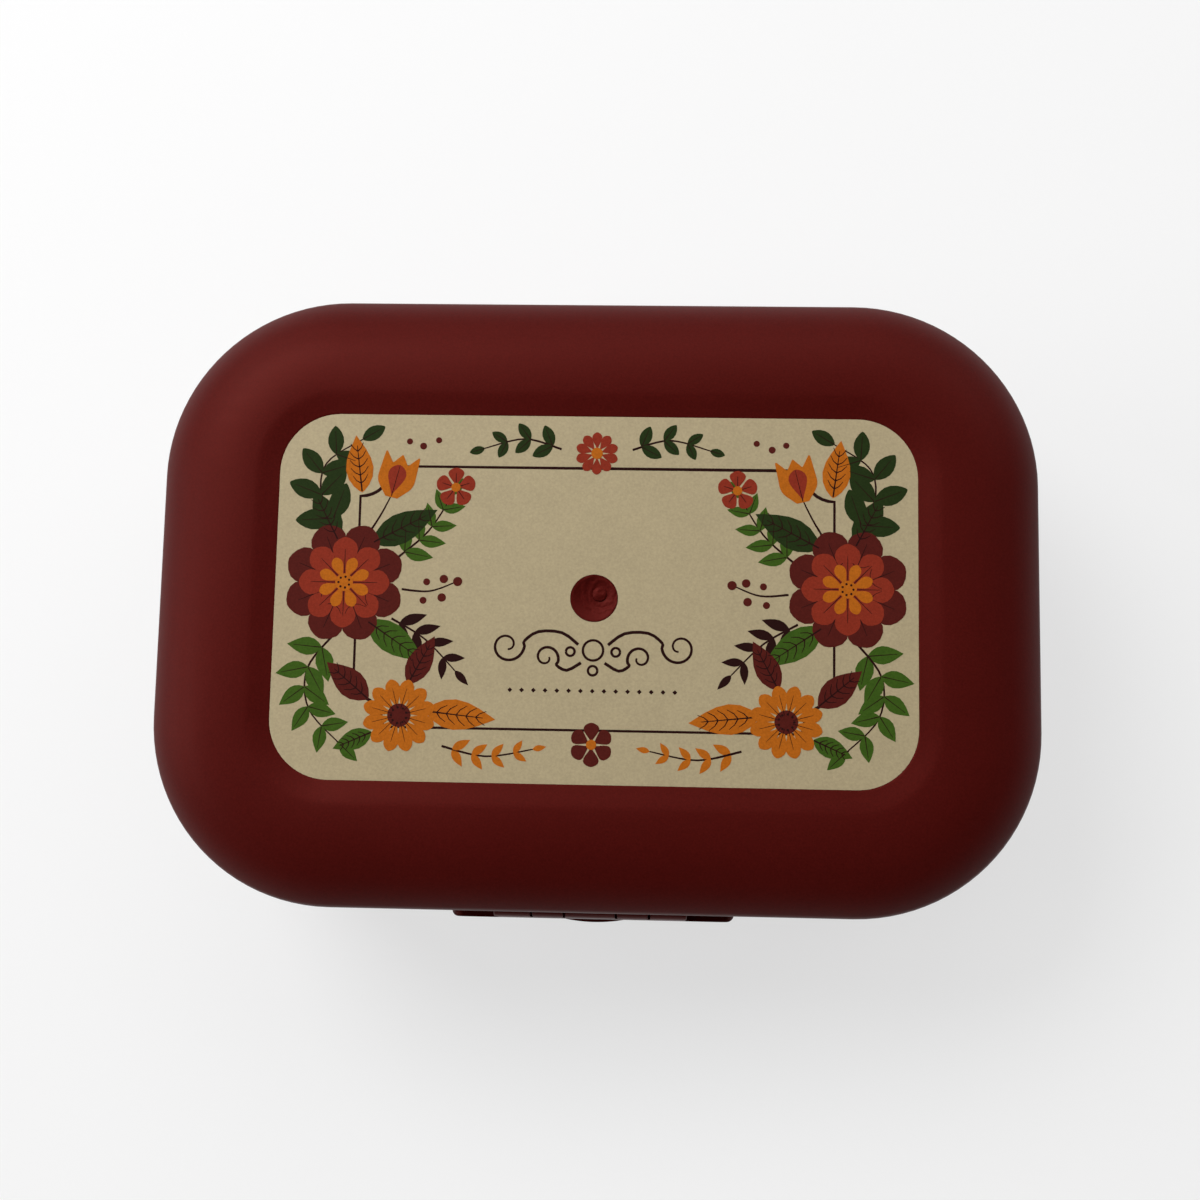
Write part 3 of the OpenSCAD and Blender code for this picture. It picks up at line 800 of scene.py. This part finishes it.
def buildTub():
    shell = sweepRound("tubShell", tubProfile(tub))
    take(shell, hingeRod("eyePocket", hinge["eye"] + hinge["pocket"], hinge["lidEye"] + 2 * hinge["gap"]))
    post = stud("post", tub["post"] / 2, tub["postTop"], box["wall"] / 2, tub["postEdge"], 40)
    gridOfCopies(post, 2, 2, 2 * tub["postPlace"][0], 2 * tub["postPlace"][1])
    root = hinge["out"] + tub["lipIn"] - box["wall"] + hinge["sink"]
    add(shell, post, atHinges(hingeEye("eye", hinge["tubEye"], -1, root), hinge["tubEyePlace"]))
    take(shell, hingeRod("bore", hinge["pin"] / 2 + snug, hinge["length"] + past))
    return finish(shell, paints["burgundy"], "tub", "box_plastic", "base_tub")


buildTub()
print("stage: tub")


# The clip

def softRect(width, depth, radius, steps=8):
    x, y = width / 2 - radius, depth / 2 - radius
    made = []
    for turn, (cx, cy) in enumerate(((x, y), (-x, y), (-x, -y), (x, -y))):
        made += arc((cx, cy), radius, 90 * turn, 90 * turn + 90, steps)
    return made


# The flat front: rounded as seen from the front and, at its two ends, from above
def clipWings(v):
    high = v["wingTop"] - v["low"]
    plate = prism("wings", softRect(v["width"], high, v["wingRound"]), (v["back"], v["face"]),
                  lambda x, z, y: (x, y, v["low"] + high / 2 + z))
    column = prism("column", softRect(v["width"], 2 * v["plate"], v["endRound"]), (v["low"], v["wingTop"]),
                   lambda x, y, z: (x, v["back"] + y, z))
    combine(plate, column, "INTERSECT")
    return bevelled(plate, v["soft"], 3, 50)


def clipHook(v):
    reach = v["rimGap"] + v["hookReach"]
    profile = softened([(-v["hookSink"], 0), (reach, 0, v["hookSoft"]), (reach, -v["hookTip"], 0.2),
                        (0, -v["hookRoot"]), (-v["hookSink"], -v["hookRoot"])], 3)
    return drawnOut("hook", profile, v["hook"], (0, v["back"], v["hookTop"]), v["hookSoft"], 2, 50)


def clipThumb(v):
    radius = (v["thumb"] ** 2 / 4 + v["thumbOut"] ** 2) / (2 * v["thumbOut"])
    half = degrees(asin((v["thumb"] / 2 + v["thumbSide"]) / radius))
    curve = arc((0, v["face"] - v["thumbOut"] + radius), radius, 270 - half, 270 + half, 24)
    root = v["face"] + v["thumbSink"]
    outline = curve + [(curve[-1][0], root), (curve[0][0], root)]
    return bevelled(prism("thumb", outline, (v["low"], v["low"] + v["thumbHeight"])), v["thumbSoft"], 4, 50)


def buildClip(v):
    y, z = v["axis"]
    back, foot = v["back"] - y, v["low"] + v["wingRound"] - z
    behind, front = back - v["inset"], v["face"] - y + v["inset"]  # within the wings' plate by a hair
    profile = arc((0, 0), v["barrel"], -90, 180, 36)
    profile += [(front, v["wingTop"] - z), (front, foot), (behind, foot),
                (behind, -sqrt(v["barrel"] ** 2 - back ** 2))]
    body = drawnOut("clipBody", profile, v["top"], (0, y, z), v["soft"], 3, 60)
    add(body, clipWings(v), clipHook(v), clipThumb(v))
    slots = rod("slots", v["barrel"] + v["gap"], v["ear"] + 2 * v["slack"], (0, y, z))
    take(body, twins(slots, v["earPlace"]), clipRod("bore", v["pin"] / 2 + v["clear"], v["top"] + past))
    return finish(body, paints["burgundy"], "clip", "box_plastic", "front_latch")


buildClip(clip)
print("stage: clip")


# The pins

def buildPins():
    clipPin = clipRod("clipPin", clip["pin"] / 2, clip["top"] - 2 * clip["recess"], clip["pinSoft"])
    finish(clipPin, paints["steel"], "lid", "pin_steel", "latch_pin")
    for name, side, node in (("hingePinLeft", -1, "hinge_pin_left"), ("hingePinRight", 1, "hinge_pin_right")):
        pin = rod(name, hinge["pin"] / 2, hinge["length"] - 2 * hinge["recess"],
                  (side * hinge["place"], *hinge["axis"]), hinge["pinSoft"])
        finish(pin, paints["steel"], "tub", "pin_steel", node)


buildPins()
print("stage: pins")


# The seal

seal = {"out": 1.7, "inner": 3.5, "low": 29.5, "high": 31.0, "soft": 0.35, "foot": 0.12}


def buildSeal(v):
    section = softened([(v["out"], v["low"], v["foot"]), (v["inner"], v["low"], v["foot"]),
                        (v["inner"], v["high"], v["soft"]), (v["out"], v["high"], v["soft"])], 4)
    ring = sweepRound("sealRing", section, closed=True)
    finish(ring, paints["silicone"], "lid", "seal_silicone", "lid_seal")


buildSeal(seal)
print("stage: seal")


# The tray

tray = {"inset": 4.8201, "low": 8.0, "plate": 1.6, "rim": 1.2, "rimHeight": 2, "slot": 3, "pitch": 9,
        "slots": 8, "sink": 0.4, "side": 11, "bar": 6, "rail": 1.4, "railHeight": 2.2, "railSoft": 0.35,
        "notch": 8, "soft": 0.25}


# The back half of an outline, from the right finger notch to the left one
def trayOutline(v, inset):
    x, r = box["width"] / 2 - inset, box["cornerRadius"] - inset
    sideX, sideY = box["sideX"], box["sideY"]
    back = [(x, v["notch"])] + arc((sideX, sideY), r, 0, 90, 16) + arc((-sideX, sideY), r, 90, 180, 16)
    return back + [(-x, v["notch"])]


def buildTray(v):
    half = box["width"] / 2 - v["inset"]
    depth = box["depth"] - 2 * v["inset"]
    back = trayOutline(v, v["inset"])
    notch = arc((-half, 0), v["notch"], 90, -90, 20)[1:-1]
    front = [(-x, -y) for x, y in back]
    piece = flatLoop("trayPlate", back + notch + front + [(-x, -y) for x, y in notch])
    slotLength = depth / 2 - v["side"] - v["bar"] / 2
    runTree(piece, "plate", thickness=v["plate"], slotWidth=float(v["slot"]), slotLength=slotLength,
            slots=v["slots"], pitch=float(v["pitch"]), rowStep=slotLength + v["bar"])
    bevelled(tidyMesh(piece), v["soft"], 2, 50)
    inner = trayOutline(v, v["inset"] + v["rim"])
    lean = sqrt(v["notch"] ** 2 - v["rim"] ** 2)
    inner[0], inner[-1] = (inner[0][0], lean), (inner[-1][0], lean)
    loop = back + list(reversed(inner))
    m = len(loop)
    rims = []
    for side in (1, -1):
        heights = (v["plate"] - v["sink"], v["plate"] + v["rimHeight"])
        rim = fromPoints("rim", [(side * x, side * y, z) for z in heights for x, y in loop],
                         [(i, m + i, m + (i + 1) % m, (i + 1) % m) for i in range(m)]
                         + [(i, (i + 1), m - 2 - i, m - 1 - i) for i in range(m // 2 - 1)]
                         + [(m + i, m + i + 1, 2 * m - 2 - i, 2 * m - 1 - i) for i in range(m // 2 - 1)])
        rims.append(bevelled(tidyMesh(rim), v["soft"], 3, 50))
    rail = block("rail", (-v["rail"] / 2, v["side"] - depth / 2, v["plate"] - v["sink"]),
                 (v["rail"] / 2, depth / 2 - v["side"], v["plate"] + v["railHeight"]), v["railSoft"])
    gridOfCopies(rail, v["slots"] + 1, 1, v["pitch"], 0)
    add(piece, *rims, rail)
    piece.data.transform(Matrix.Translation((0, 0, v["low"])))
    return finish(piece, paints["ivory"], "tray", "tray_plastic", "drain_tray")


buildTray(tray)
print("stage: tray")


# The label and its print

def buildLabel():
    edge = 2 * lid["border"]
    outline = softRect(box["width"] - edge, box["depth"] - edge, box["cornerRadius"] - lid["border"], 16)
    film = prism("labelFilm", outline, (lid["floorZ"], lid["labelZ"]))
    take(film, stud("hole", gate["hole"] / 2 + gate["room"], box["height"], lid["floorZ"] - 1, [(0, 0)], 64))
    return finish(film, paints["cream"], "lid", "label_film", "lid_label")


buildLabel()
print("stage: label")


# Inks by colour, and what they share
inks = {"brown": (0.0200, 0.0052, 0.0046), "darkGreen": (0.0170, 0.0300, 0.0072),
        "lightGreen": (0.0420, 0.0900, 0.0100), "maroon": (0.0800, 0.0110, 0.0080),
        "rust": (0.2300, 0.0270, 0.0130), "orange": (0.4300, 0.1150, 0.0085)}
inkBase = {"rough": 0.6, "cloud": 0.08, "fleck": 0.3, "cloudScale": 900, "grainScale": 4200,
           "grain": 0.00001, "bump": 0.3, "rub": 0.08, "rubScale": 120, "shine": 0.05, "ior": 1.4}

# A layer of ink: its underside from the film, the rise from one shape to the next, a pen line's flatness
layer = {"low": -0.005, "lift": 0.0006, "flatness": 0.05}

# Unit outlines that point along X from their root
shapes = {
    "leaf": {"lean": 0.78, "fullness": 1.0, "points": 9},
    "roundLeaf": {"lean": 0.95, "fullness": 0.72, "points": 9},
    "petal": {"lean": 1.9, "fullness": 0.62, "points": 11},
}


# A leaf or petal from its root at 0 to its tip at 1; lean moves its widest point
def bladeOutline(v):
    side = []
    for i in range(1, v["points"]):
        t = (1 - cos(pi * i / v["points"])) / 2
        side.append((t, 0.5 * sin(pi * t ** v["lean"]) ** v["fullness"]))
    return [(0, 0)] + [(t, -w) for t, w in side] + [(1, 0)] + [(t, w) for t, w in reversed(side)]


def outlineOf(shape):
    if shape == "disc":
        return arc((0, 0), 0.5, 0, 345, 23)
    if shape == "diamond":
        return [(0.5, 0), (0, 0.5), (-0.5, 0), (0, -0.5)]
    if shape == "tulip":
        return softened([(0, -0.16), (0.3, -0.5, 0.3), (0.98, -0.46, 0.03), (0.72, -0.2, 0.03),
                         (0.94, 0.0, 0.03), (0.72, 0.2, 0.03), (0.98, 0.46, 0.03), (0.3, 0.5, 0.3),
                         (0, 0.16)])
    return bladeOutline(shapes[shape])


# marks: (x, y, turn in degrees, length, width) on the right half; the left half mirrors them
def inkShapes(name, shape, ink, marks, high, mirrored=True):
    placed = list(marks)
    if mirrored:
        placed += [(-x, y, 180 - turn, a, b) for x, y, turn, a, b in marks if x > 0.001]
    stamp = flatLoop("stamp", outlineOf(shape))
    piece = fromPoints(name, [(x, y, 0) for x, y, *_ in placed])
    setAttribute(piece, "turn", "FLOAT", "value", [radians(mark[2]) for mark in placed])
    setAttribute(piece, "size", "FLOAT_VECTOR", "vector",
                 [value for *_, length, width in placed for value in (length, width, 1.0)])
    runTree(piece, "scatter", shape=stamp, low=lid["labelZ"] + layer["low"], high=lid["labelZ"] + high,
            lift=layer["lift"])
    bpy.data.objects.remove(stamp)
    tidyMesh(piece, apart=0)
    return finish(piece, paints[ink], "lid", "label_film")


# lines: (points, width at the start, width at the end)
def inkStrokes(name, ink, lines, high, mirrored=True):
    placed = list(lines)
    if mirrored:
        placed += [([(-x, y) for x, y in path], first, last) for path, first, last in lines]
    points, edges, widths = [], [], []
    for path, first, last in placed:
        start, n = len(points), len(path)
        points += [(x, y, 0) for x, y in path]
        edges += [(start + i, start + i + 1) for i in range(n - 1)]
        widths += [first + (last - first) * i / (n - 1) for i in range(n)]
    piece = fromPoints(name, points, edges=edges)
    setAttribute(piece, "width", "FLOAT", "value", widths)
    runTree(piece, "strokes", height=lid["labelZ"] + high, flatness=layer["flatness"])
    tidyMesh(piece, apart=0)
    return finish(piece, paints[ink], "lid", "label_film")


# A soft curve through a few points
def smoothPath(points, steps=6):
    ends = [points[0]] + list(points) + [points[-1]]
    made = []
    for i in range(1, len(ends) - 2):
        p0, p1, p2, p3 = (Vector(p) for p in ends[i - 1:i + 3])
        for k in range(steps):
            t = k / steps
            at = 0.5 * (2 * p1 + (p2 - p0) * t + (2 * p0 - 5 * p1 + 4 * p2 - p3) * t ** 2
                        + (3 * p1 - p0 - 3 * p2 + p3) * t ** 3)
            made.append(tuple(at))
    return made + [tuple(points[-1])]


# A stem that winds up in a spiral
def scrollPath(v):
    (first, last), (wide, narrow), n = v["turn"], v["size"], 26
    winding = []
    for i in range(n + 1):
        winding.append(polar(v["eye"], wide + (narrow - wide) * i / n, first + (last - first) * i / n))
    return smoothPath(v["root"] + winding, 3)


# Leaves in pairs along a stem, smaller towards its tip, and one at the tip
def leavesAlong(stem, pairs, length, width, spread=50, start=0.16, taper=0.35):
    marks, n = [], len(stem) - 1
    for i in range(pairs):
        share = start + (0.97 - start) * i / pairs
        at = share * n
        k = min(int(at), n - 1)
        p, q = Vector(stem[k]), Vector(stem[k + 1])
        here, way = p.lerp(q, at - k), degrees(atan2(q.y - p.y, q.x - p.x))
        scale = 1 - taper * share
        for side in (1, -1):
            marks.append((here.x, here.y, way + side * spread, length * scale, width * scale))
    p, q = stem[-2], stem[-1]
    way = degrees(atan2(q[1] - p[1], q[0] - p[0]))
    return marks + [(*stem[-1], way, length * (1 - taper), width * (1 - taper))]


# Petals round a centre; of a flower on the middle line only the right half, since it is mirrored
def ringOf(centre, count, start, length, width, first=0):
    turns = [first + 360 * i / count for i in range(count)]
    marks = [(*polar(centre, start, turn), turn, length, width) for turn in turns]
    return [mark for mark in marks if mark[0] > -0.001]


def dots(places):
    return [(x, y, 0, size, size) for x, y, size in places]


# A midrib for each mark, and side ribs where it is large
def veins(marks, width=0.13, ribs=0, reach=0.82, fan=0.33):
    lines = []
    for x, y, turn, length, breadth in marks:
        ahead = Vector(polar((0, 0), 1, turn))
        across = Vector((-ahead.y, ahead.x))
        root = Vector((x, y))
        midrib = [tuple(root + ahead * length * t) for t in (0.02, 0.3, 0.6, reach)]
        lines.append((midrib, width, width * 0.45))
        for i in range(ribs):
            t = 0.16 + 0.56 * i / max(1, ribs - 1) if ribs > 1 else 0.3
            for side in (1, -1):
                foot = root + ahead * length * t
                out = across * side * breadth * fan * sin(pi * min(0.95, t * 0.8 + 0.18))
                lines.append(([tuple(foot), tuple(foot + out * 0.55 + ahead * length * 0.05),
                               tuple(foot + out + ahead * length * 0.14)], width * 0.8, width * 0.4))
    return lines


# Flowers and sprigs on the right half of the label, mm from its middle
garland = {
    "middle": (0, 0), "rosette": (32.3, 1.6), "topDaisy": (0, 18.9), "lowDaisy": (24.6, -15.4),
    "lowBloom": (0, -18.7), "blossom": (18.2, 14.2),
    "stems": {
        "green": [(32.6, 8.0), (35.6, 12.6), (35.2, 17.2), (30.6, 20.4)],
        "tulip": [(29.6, 7.6), (27.9, 10.4), (26.6, 13.0)],
        "inner": [(25.6, 4.8), (21.6, 8.4), (18.6, 13.2)],
        "lime": [(33.2, -5.0), (36.6, -9.6), (36.2, -14.8), (32.0, -19.2)],
        "seed": [(26.0, -3.0), (21.6, -5.6), (17.6, -9.6)],
        "low": [(19.0, -19.2), (13.4, -20.4), (7.4, -19.4)],
        "top": [(4.6, 19.4), (9.4, 20.7), (14.6, 19.4)],
        "berry": [(24.8, 0.8), (21.2, 0.6), (17.9, 1.8)]},
    # along a stem: pairs, length, width, spread
    "leaves": {"green": (4, 5.2, 2.9, 56), "top": (3, 3.1, 1.7, 48), "lime": (5, 4.8, 2.5, 54),
               "inner": (4, 4.0, 1.9, 50), "seed": (4, 3.9, 1.5, 46), "low": (4, 2.7, 1.2, 44)},
    # single leaves: the flower they start from, x and y from there, turn, length, width
    "broad": {"dark": [("rosette", -3.5, 5.2, 152, 9.4, 4.0), ("rosette", 1.0, 5.5, 62, 7.4, 3.6)],
              "lime": [("rosette", -3.2, -5.0, 214, 9.0, 3.8), ("lowDaisy", 3.4, -2.2, -24, 5.4, 2.6)],
              "ember": [("lowDaisy", -3.4, 0.6, 186, 9.0, 3.9), ("middle", 30.4, 13.4, 82, 7.6, 3.6)],
              "plum": [("lowDaisy", 4.0, 2.0, 40, 7.2, 3.6), ("lowDaisy", -1.0, 4.0, 118, 7.0, 3.2)]},
    # rings: flower, count, way out to the root, length, width, first turn
    "petals": {"outer": ("rosette", 8, 1.0, 6.9, 4.7, 22.5), "middle": ("rosette", 8, 0.7, 5.2, 3.3),
               "inner": ("rosette", 8, 0.5, 2.9, 1.5, 22.5), "rays": ("lowDaisy", 12, 0.8, 3.9, 1.9, 15),
               "top": ("topDaisy", 10, 0.5, 2.3, 1.3, 18), "bloom": ("lowBloom", 6, 0.3, 2.5, 2.0, 30),
               "blossom": ("blossom", 5, 0.2, 2.4, 2.1, 18)},
    "cup": (26.6, 12.8, 104, 6.2, 5.0), "tongue": (26.6, 13.0, 104, 4.2, 2.4),
    "hearts": {"rosette": 2.3, "topDaisy": 1.5, "lowBloom": 1.3, "blossom": 1.2}, "darkHeart": 3.0,
    "berries": [(17.6, 1.9, 1.2), (19.4, 2.2, 1.1), (19.6, -0.2, 1.1), (21.6, 1.8, 0.9),
                (22.0, -0.6, 0.9), (22.6, 19.6, 0.9), (20.6, 20.4, 0.8), (24.4, 20.2, 0.8)],
}
frameLine = {"x": 30.6, "y": 16.9, "scoop": 4.0, "width": 0.42}
flourish = {
    "scrolls": [{"root": [(1.9, -6.0), (4.0, -4.5), (7.0, -4.4)], "eye": (11.0, -6.2), "turn": (165, 620),
                 "size": (2.3, 0.5)},
                {"root": [(1.5, -8.3), (3.3, -9.3)], "eye": (6.0, -7.7), "turn": (215, -190),
                 "size": (1.7, 0.4)}],
    "bubbles": [(0, -6.7, 1.3), (0, -9.3, 0.6)], "sideBubbles": [(2.9, -6.9, 0.55)], "width": 0.4,
    "beads": {"count": 15, "step": 1.5, "y": -11.9, "size": 0.62},
}


# A thin line round the middle of the label, with scooped corners
def framePath(v):
    corner = arc((v["x"], v["y"]), v["scoop"], 180, 270, 8)
    side = corner + [(x, -y) for x, y in reversed(corner)]
    loop = side + [(-x, y) for x, y in reversed(side)]
    return [(loop + loop[:1], v["width"], v["width"])]


def bubbleRings(bubbles, width):
    return [(arc((x, y), radius, 0, 360, 24), width * 0.8, width * 0.8) for x, y, radius in bubbles]


def buildPrint(g, f):
    stems = {key: smoothPath(path) for key, path in g["stems"].items()}
    leaves = {key: leavesAlong(stems[key], *values) for key, values in g["leaves"].items()}
    broad = {key: [(g[flower][0] + x, g[flower][1] + y, *rest) for flower, x, y, *rest in marks]
             for key, marks in g["broad"].items()}
    petals = {key: ringOf(g[flower], *values) for key, (flower, *values) in g["petals"].items()}
    dark, lime = leaves["green"] + leaves["top"], leaves["lime"] + leaves["inner"]
    middle = petals["middle"] + petals["blossom"]
    hearts = dots((*g[flower], size) for flower, size in g["hearts"].items())
    seeds = ringOf(g["rosette"], 7, 0.72, 1, 1) + ringOf(g["lowDaisy"], 9, 1.0, 1, 1)
    b = f["beads"]
    beads = [((i - (b["count"] - 1) / 2) * b["step"], b["y"], b["size"]) for i in range(b["count"])]
    scrolls = [(scrollPath(one), f["width"], f["width"] * 0.6) for one in f["scrolls"]]

    # name, shape, ink, the top's height above the film in mm, and the marks or lines
    drawn = (
        ("Frame", "pen", "brown", 0.004, framePath(frameLine)),
        ("Stems", "pen", "brown", 0.010, [(path, 0.3, 0.16) for path in stems.values()]),
        ("DarkLeaves", "roundLeaf", "darkGreen", 0.016, dark),
        ("LimeLeaves", "leaf", "lightGreen", 0.016, lime),
        ("SeedLeaves", "leaf", "brown", 0.016, leaves["seed"]),
        ("EmberLeaves", "leaf", "orange", 0.016, leaves["low"]),
        ("BroadDark", "leaf", "darkGreen", 0.021, broad["dark"]),
        ("BroadLime", "leaf", "lightGreen", 0.021, broad["lime"]),
        ("BroadEmber", "leaf", "orange", 0.021, broad["ember"]),
        ("BroadPlum", "leaf", "maroon", 0.021, broad["plum"]),
        ("OuterPetals", "petal", "maroon", 0.026, petals["outer"] + petals["bloom"]),
        ("MiddlePetals", "petal", "rust", 0.033, petals["middle"] + petals["top"] + petals["blossom"]),
        ("OrangePetals", "petal", "orange", 0.040, petals["inner"] + petals["rays"]),
        ("Tulips", "tulip", "orange", 0.026, [g["cup"]]),
        ("Tongues", "petal", "rust", 0.033, [g["tongue"]]),
        ("Berries", "disc", "maroon", 0.018, dots(g["berries"])),
        ("Hearts", "disc", "orange", 0.047, hearts),
        ("DarkHearts", "disc", "maroon", 0.047, dots([(*g["lowDaisy"], g["darkHeart"])])),
        ("SeedDots", "disc", "brown", 0.053, dots((x, y, 0.3) for x, y, *_ in seeds)),
        ("LeafVeins", "pen", "brown", 0.021, veins(dark + lime)),
        ("BroadVeins", "pen", "brown", 0.027, veins(sum(broad.values(), []), 0.2, 5)),
        ("PetalVeins", "pen", "brown", 0.032, veins(petals["outer"], 0.14, 1, 0.78)),
        ("MiddleVeins", "pen", "brown", 0.039, veins(middle, 0.12, 0, 0.7)),
        ("RayVeins", "pen", "brown", 0.046, veins(petals["rays"] + [g["cup"]], 0.1, 0, 0.7)),
        ("Scrolls", "pen", "brown", 0.006, scrolls),
        ("Bubbles", "pen", "brown", 0.006, bubbleRings(f["bubbles"], f["width"])),
        ("SideBubbles", "pen", "brown", 0.006, bubbleRings(f["sideBubbles"], f["width"])),
        ("Beads", "diamond", "brown", 0.010, dots(beads)),
    )
    for name, shape, ink, high, marks in drawn:
        mirrored = name not in ("Frame", "Bubbles", "Beads")
        if shape == "pen":
            inkStrokes("print" + name, ink, marks, high, mirrored)
        else:
            inkShapes("print" + name, shape, ink, marks, high, mirrored)


for inkName, inkColour in inks.items():
    paints[inkName] = plastic(inkName + "Ink", {**inkBase, "colour": inkColour})
buildPrint(garland, flourish)
print("stage: print")
